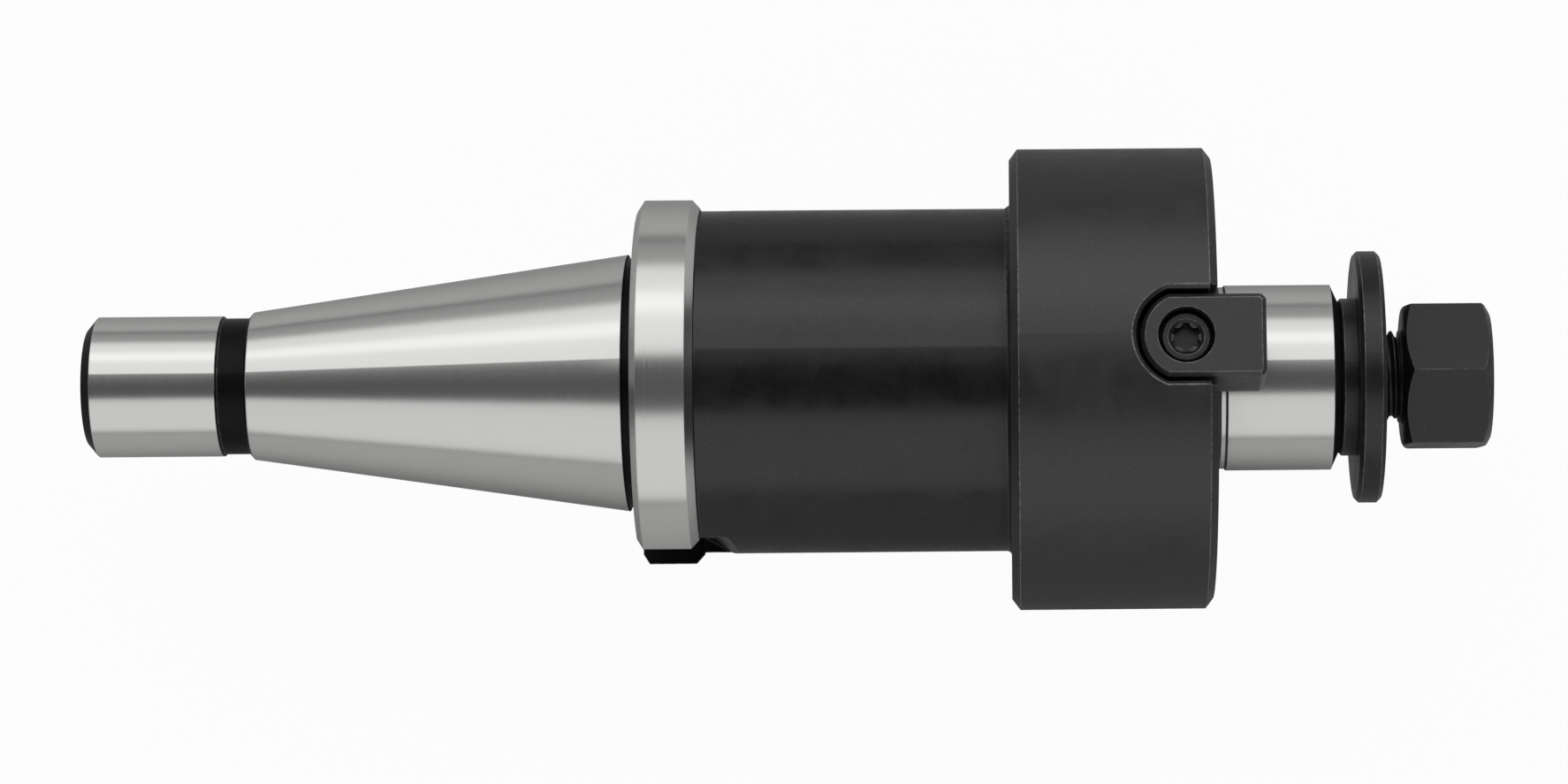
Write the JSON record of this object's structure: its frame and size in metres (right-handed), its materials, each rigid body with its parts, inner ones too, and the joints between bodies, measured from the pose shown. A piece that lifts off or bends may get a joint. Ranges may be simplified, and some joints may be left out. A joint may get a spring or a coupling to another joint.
{
  "type": "shell mill arbor",
  "caption": "Steep 7:24 taper arbor that carries a shell milling cutter on its front pilot, driven by face keys and clamped by a hexagon screw through a stepped washer.",
  "frame": {"origin": "centre of the gauge plane, where the taper measures 44.45 mm across", "axes": "+X along the arbor's axis, from the drawbar end to the cutter end; the drive keys face +Z and -Z"},
  "size_m": [0.2415, 0.0796, 0.0796],
  "materials": {
    "ground_steel": "ground bare steel, with black oxide on the groove, slots, neck and head",
    "black_oxide": "black oxide, satin",
    "black_screw": "black oxide, satin, lightly oiled"
  },
  "bodies": {
    "arbor": {"arbor_body": "ground_steel", "drive_key_1": "black_oxide", "drive_key_2": "black_oxide", "key_screw_1": "black_screw", "key_screw_2": "black_screw"},
    "washer": {"clamp_washer": "black_oxide"},
    "screw": {"clamp_screw": "black_screw"}
  },
  "joints": [
    {"name": "screw_travel", "type": "slide", "parent": "arbor", "child": "washer", "axis": [1, 0, 0], "range_m": [0, 0.028]},
    {"name": "screw_turn", "type": "hinge", "parent": "washer", "child": "screw", "pos_m": [0.14, 0, 0], "axis": [1, 0, 0], "range_deg": [0, 5041]}
  ],
  "couplings": [
    {"joint": "screw_turn", "follows": "screw_travel", "rad_per_m": 3141.6}
  ]
}
